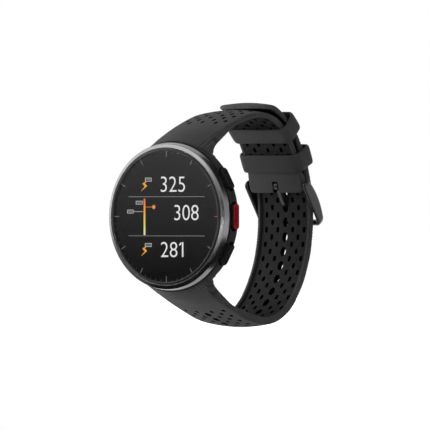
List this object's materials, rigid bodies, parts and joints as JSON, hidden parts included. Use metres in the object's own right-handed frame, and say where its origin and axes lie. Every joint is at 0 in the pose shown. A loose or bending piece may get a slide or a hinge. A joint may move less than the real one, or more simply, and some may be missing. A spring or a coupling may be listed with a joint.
{
  "type": "gps running watch",
  "caption": "Round GPS running watch with side buttons on a perforated rubber strap, closed by a tang buckle and keeper loops.",
  "frame": {"origin": "middle of the flat sensor window on the case back, where the wrist presses", "axes": "+X to 3 o'clock, the dial faces -Y, +Z to 12 o'clock"},
  "size_m": [0.0464, 0.0668, 0.0693],
  "materials": {
    "glass": "polished dark cover glass",
    "bezel": "satin grey anodised",
    "case": "fine matt black",
    "window": "polished dark",
    "seal": "matt black",
    "display": "dark panel",
    "contact_gold": "gold plated",
    "board": "green solder mask",
    "cell": "foil",
    "steel": "turned",
    "strap": "matt dark grey silicone",
    "black_metal": "satin black",
    "red_button": "red anodised"
  },
  "bodies": {
    "watch": {"back_cover": "case", "back_cover_seal": "seal", "battery_cell": "cell", "bezel_ring": "bezel", "buckle_bar": "black_metal", "button_back_switch": "steel", "button_down_switch": "steel", "button_light_switch": "steel", "button_ok_switch": "steel", "button_up_switch": "steel", "case_screw_1": "steel", "case_screw_2": "steel", "case_screw_3": "steel", "case_screw_4": "steel", "charge_pin_1": "contact_gold", "charge_pin_2": "contact_gold", "charge_pin_3": "contact_gold", "charge_pin_4": "contact_gold", "cover_glass": "glass", "display_panel": "display", "glass_gasket": "seal", "gnss_antenna": "contact_gold", "inner_chassis": "case", "main_board": "board", "mid_case": "case", "sensor_board": "board", "sensor_window": "window", "spring_bar_lower": "steel", "spring_bar_upper": "steel", "strap_long": "strap", "strap_short": "strap", "vibration_motor": "steel"},
    "button_ok": {"button_ok": "red_button", "button_ok_seal": "seal", "button_ok_clip": "steel"},
    "button_up": {"button_up": "black_metal", "button_up_seal": "seal", "button_up_clip": "steel"},
    "button_down": {"button_down": "black_metal", "button_down_seal": "seal", "button_down_clip": "steel"},
    "button_light": {"button_light": "black_metal", "button_light_seal": "seal", "button_light_clip": "steel"},
    "button_back": {"button_back": "black_metal", "button_back_seal": "seal", "button_back_clip": "steel"},
    "keeper_upper": {"keeper_upper": "strap"},
    "keeper_lower": {"keeper_lower": "strap"},
    "buckle_frame": {"buckle_frame": "black_metal"},
    "buckle_tang": {"buckle_tang": "black_metal"},
    "release_upper": {"spring_bar_tip_upper": "steel"},
    "release_lower": {"spring_bar_tip_lower": "steel"}
  },
  "joints": [
    {"name": "button_ok_press", "type": "slide", "parent": "watch", "child": "button_ok", "axis": [-1, 0, 0], "range_m": [0, 0.0006], "stiffness_N_per_m": 2000},
    {"name": "button_up_press", "type": "slide", "parent": "watch", "child": "button_up", "axis": [-0.866, 0, -0.5], "range_m": [0, 0.0006], "stiffness_N_per_m": 2000},
    {"name": "button_down_press", "type": "slide", "parent": "watch", "child": "button_down", "axis": [-0.866, 0, 0.5], "range_m": [0, 0.0006], "stiffness_N_per_m": 2000},
    {"name": "button_light_press", "type": "slide", "parent": "watch", "child": "button_light", "axis": [0.866, 0, -0.5], "range_m": [0, 0.0006], "stiffness_N_per_m": 2000},
    {"name": "button_back_press", "type": "slide", "parent": "watch", "child": "button_back", "axis": [0.866, 0, 0.5], "range_m": [0, 0.0006], "stiffness_N_per_m": 2000},
    {"name": "keeper_upper_shift", "type": "hinge", "parent": "watch", "child": "keeper_upper", "pos_m": [0, 0.02484, 0.01329], "axis": [1, 0, 0], "range_deg": [0, 9]},
    {"name": "keeper_lower_shift", "type": "hinge", "parent": "watch", "child": "keeper_lower", "pos_m": [0, 0.00586, 0], "axis": [1, 0, 0], "range_deg": [-2, 3]},
    {"name": "buckle_swing", "type": "hinge", "parent": "watch", "child": "buckle_frame", "pos_m": [0, 0.0459, 0.0094], "axis": [1, 0, 0], "range_deg": [-1, 1]},
    {"name": "tang_swing", "type": "hinge", "parent": "watch", "child": "buckle_tang", "pos_m": [0, 0.0459, 0.0094], "axis": [1, 0, 0], "range_deg": [0, 1]},
    {"name": "release_upper_pull", "type": "slide", "parent": "watch", "child": "release_upper", "axis": [-1, 0, 0], "range_m": [0, 0.0016], "stiffness_N_per_m": 600},
    {"name": "release_lower_pull", "type": "slide", "parent": "watch", "child": "release_lower", "axis": [1, 0, 0], "range_m": [0, 0.0016], "stiffness_N_per_m": 600}
  ]
}
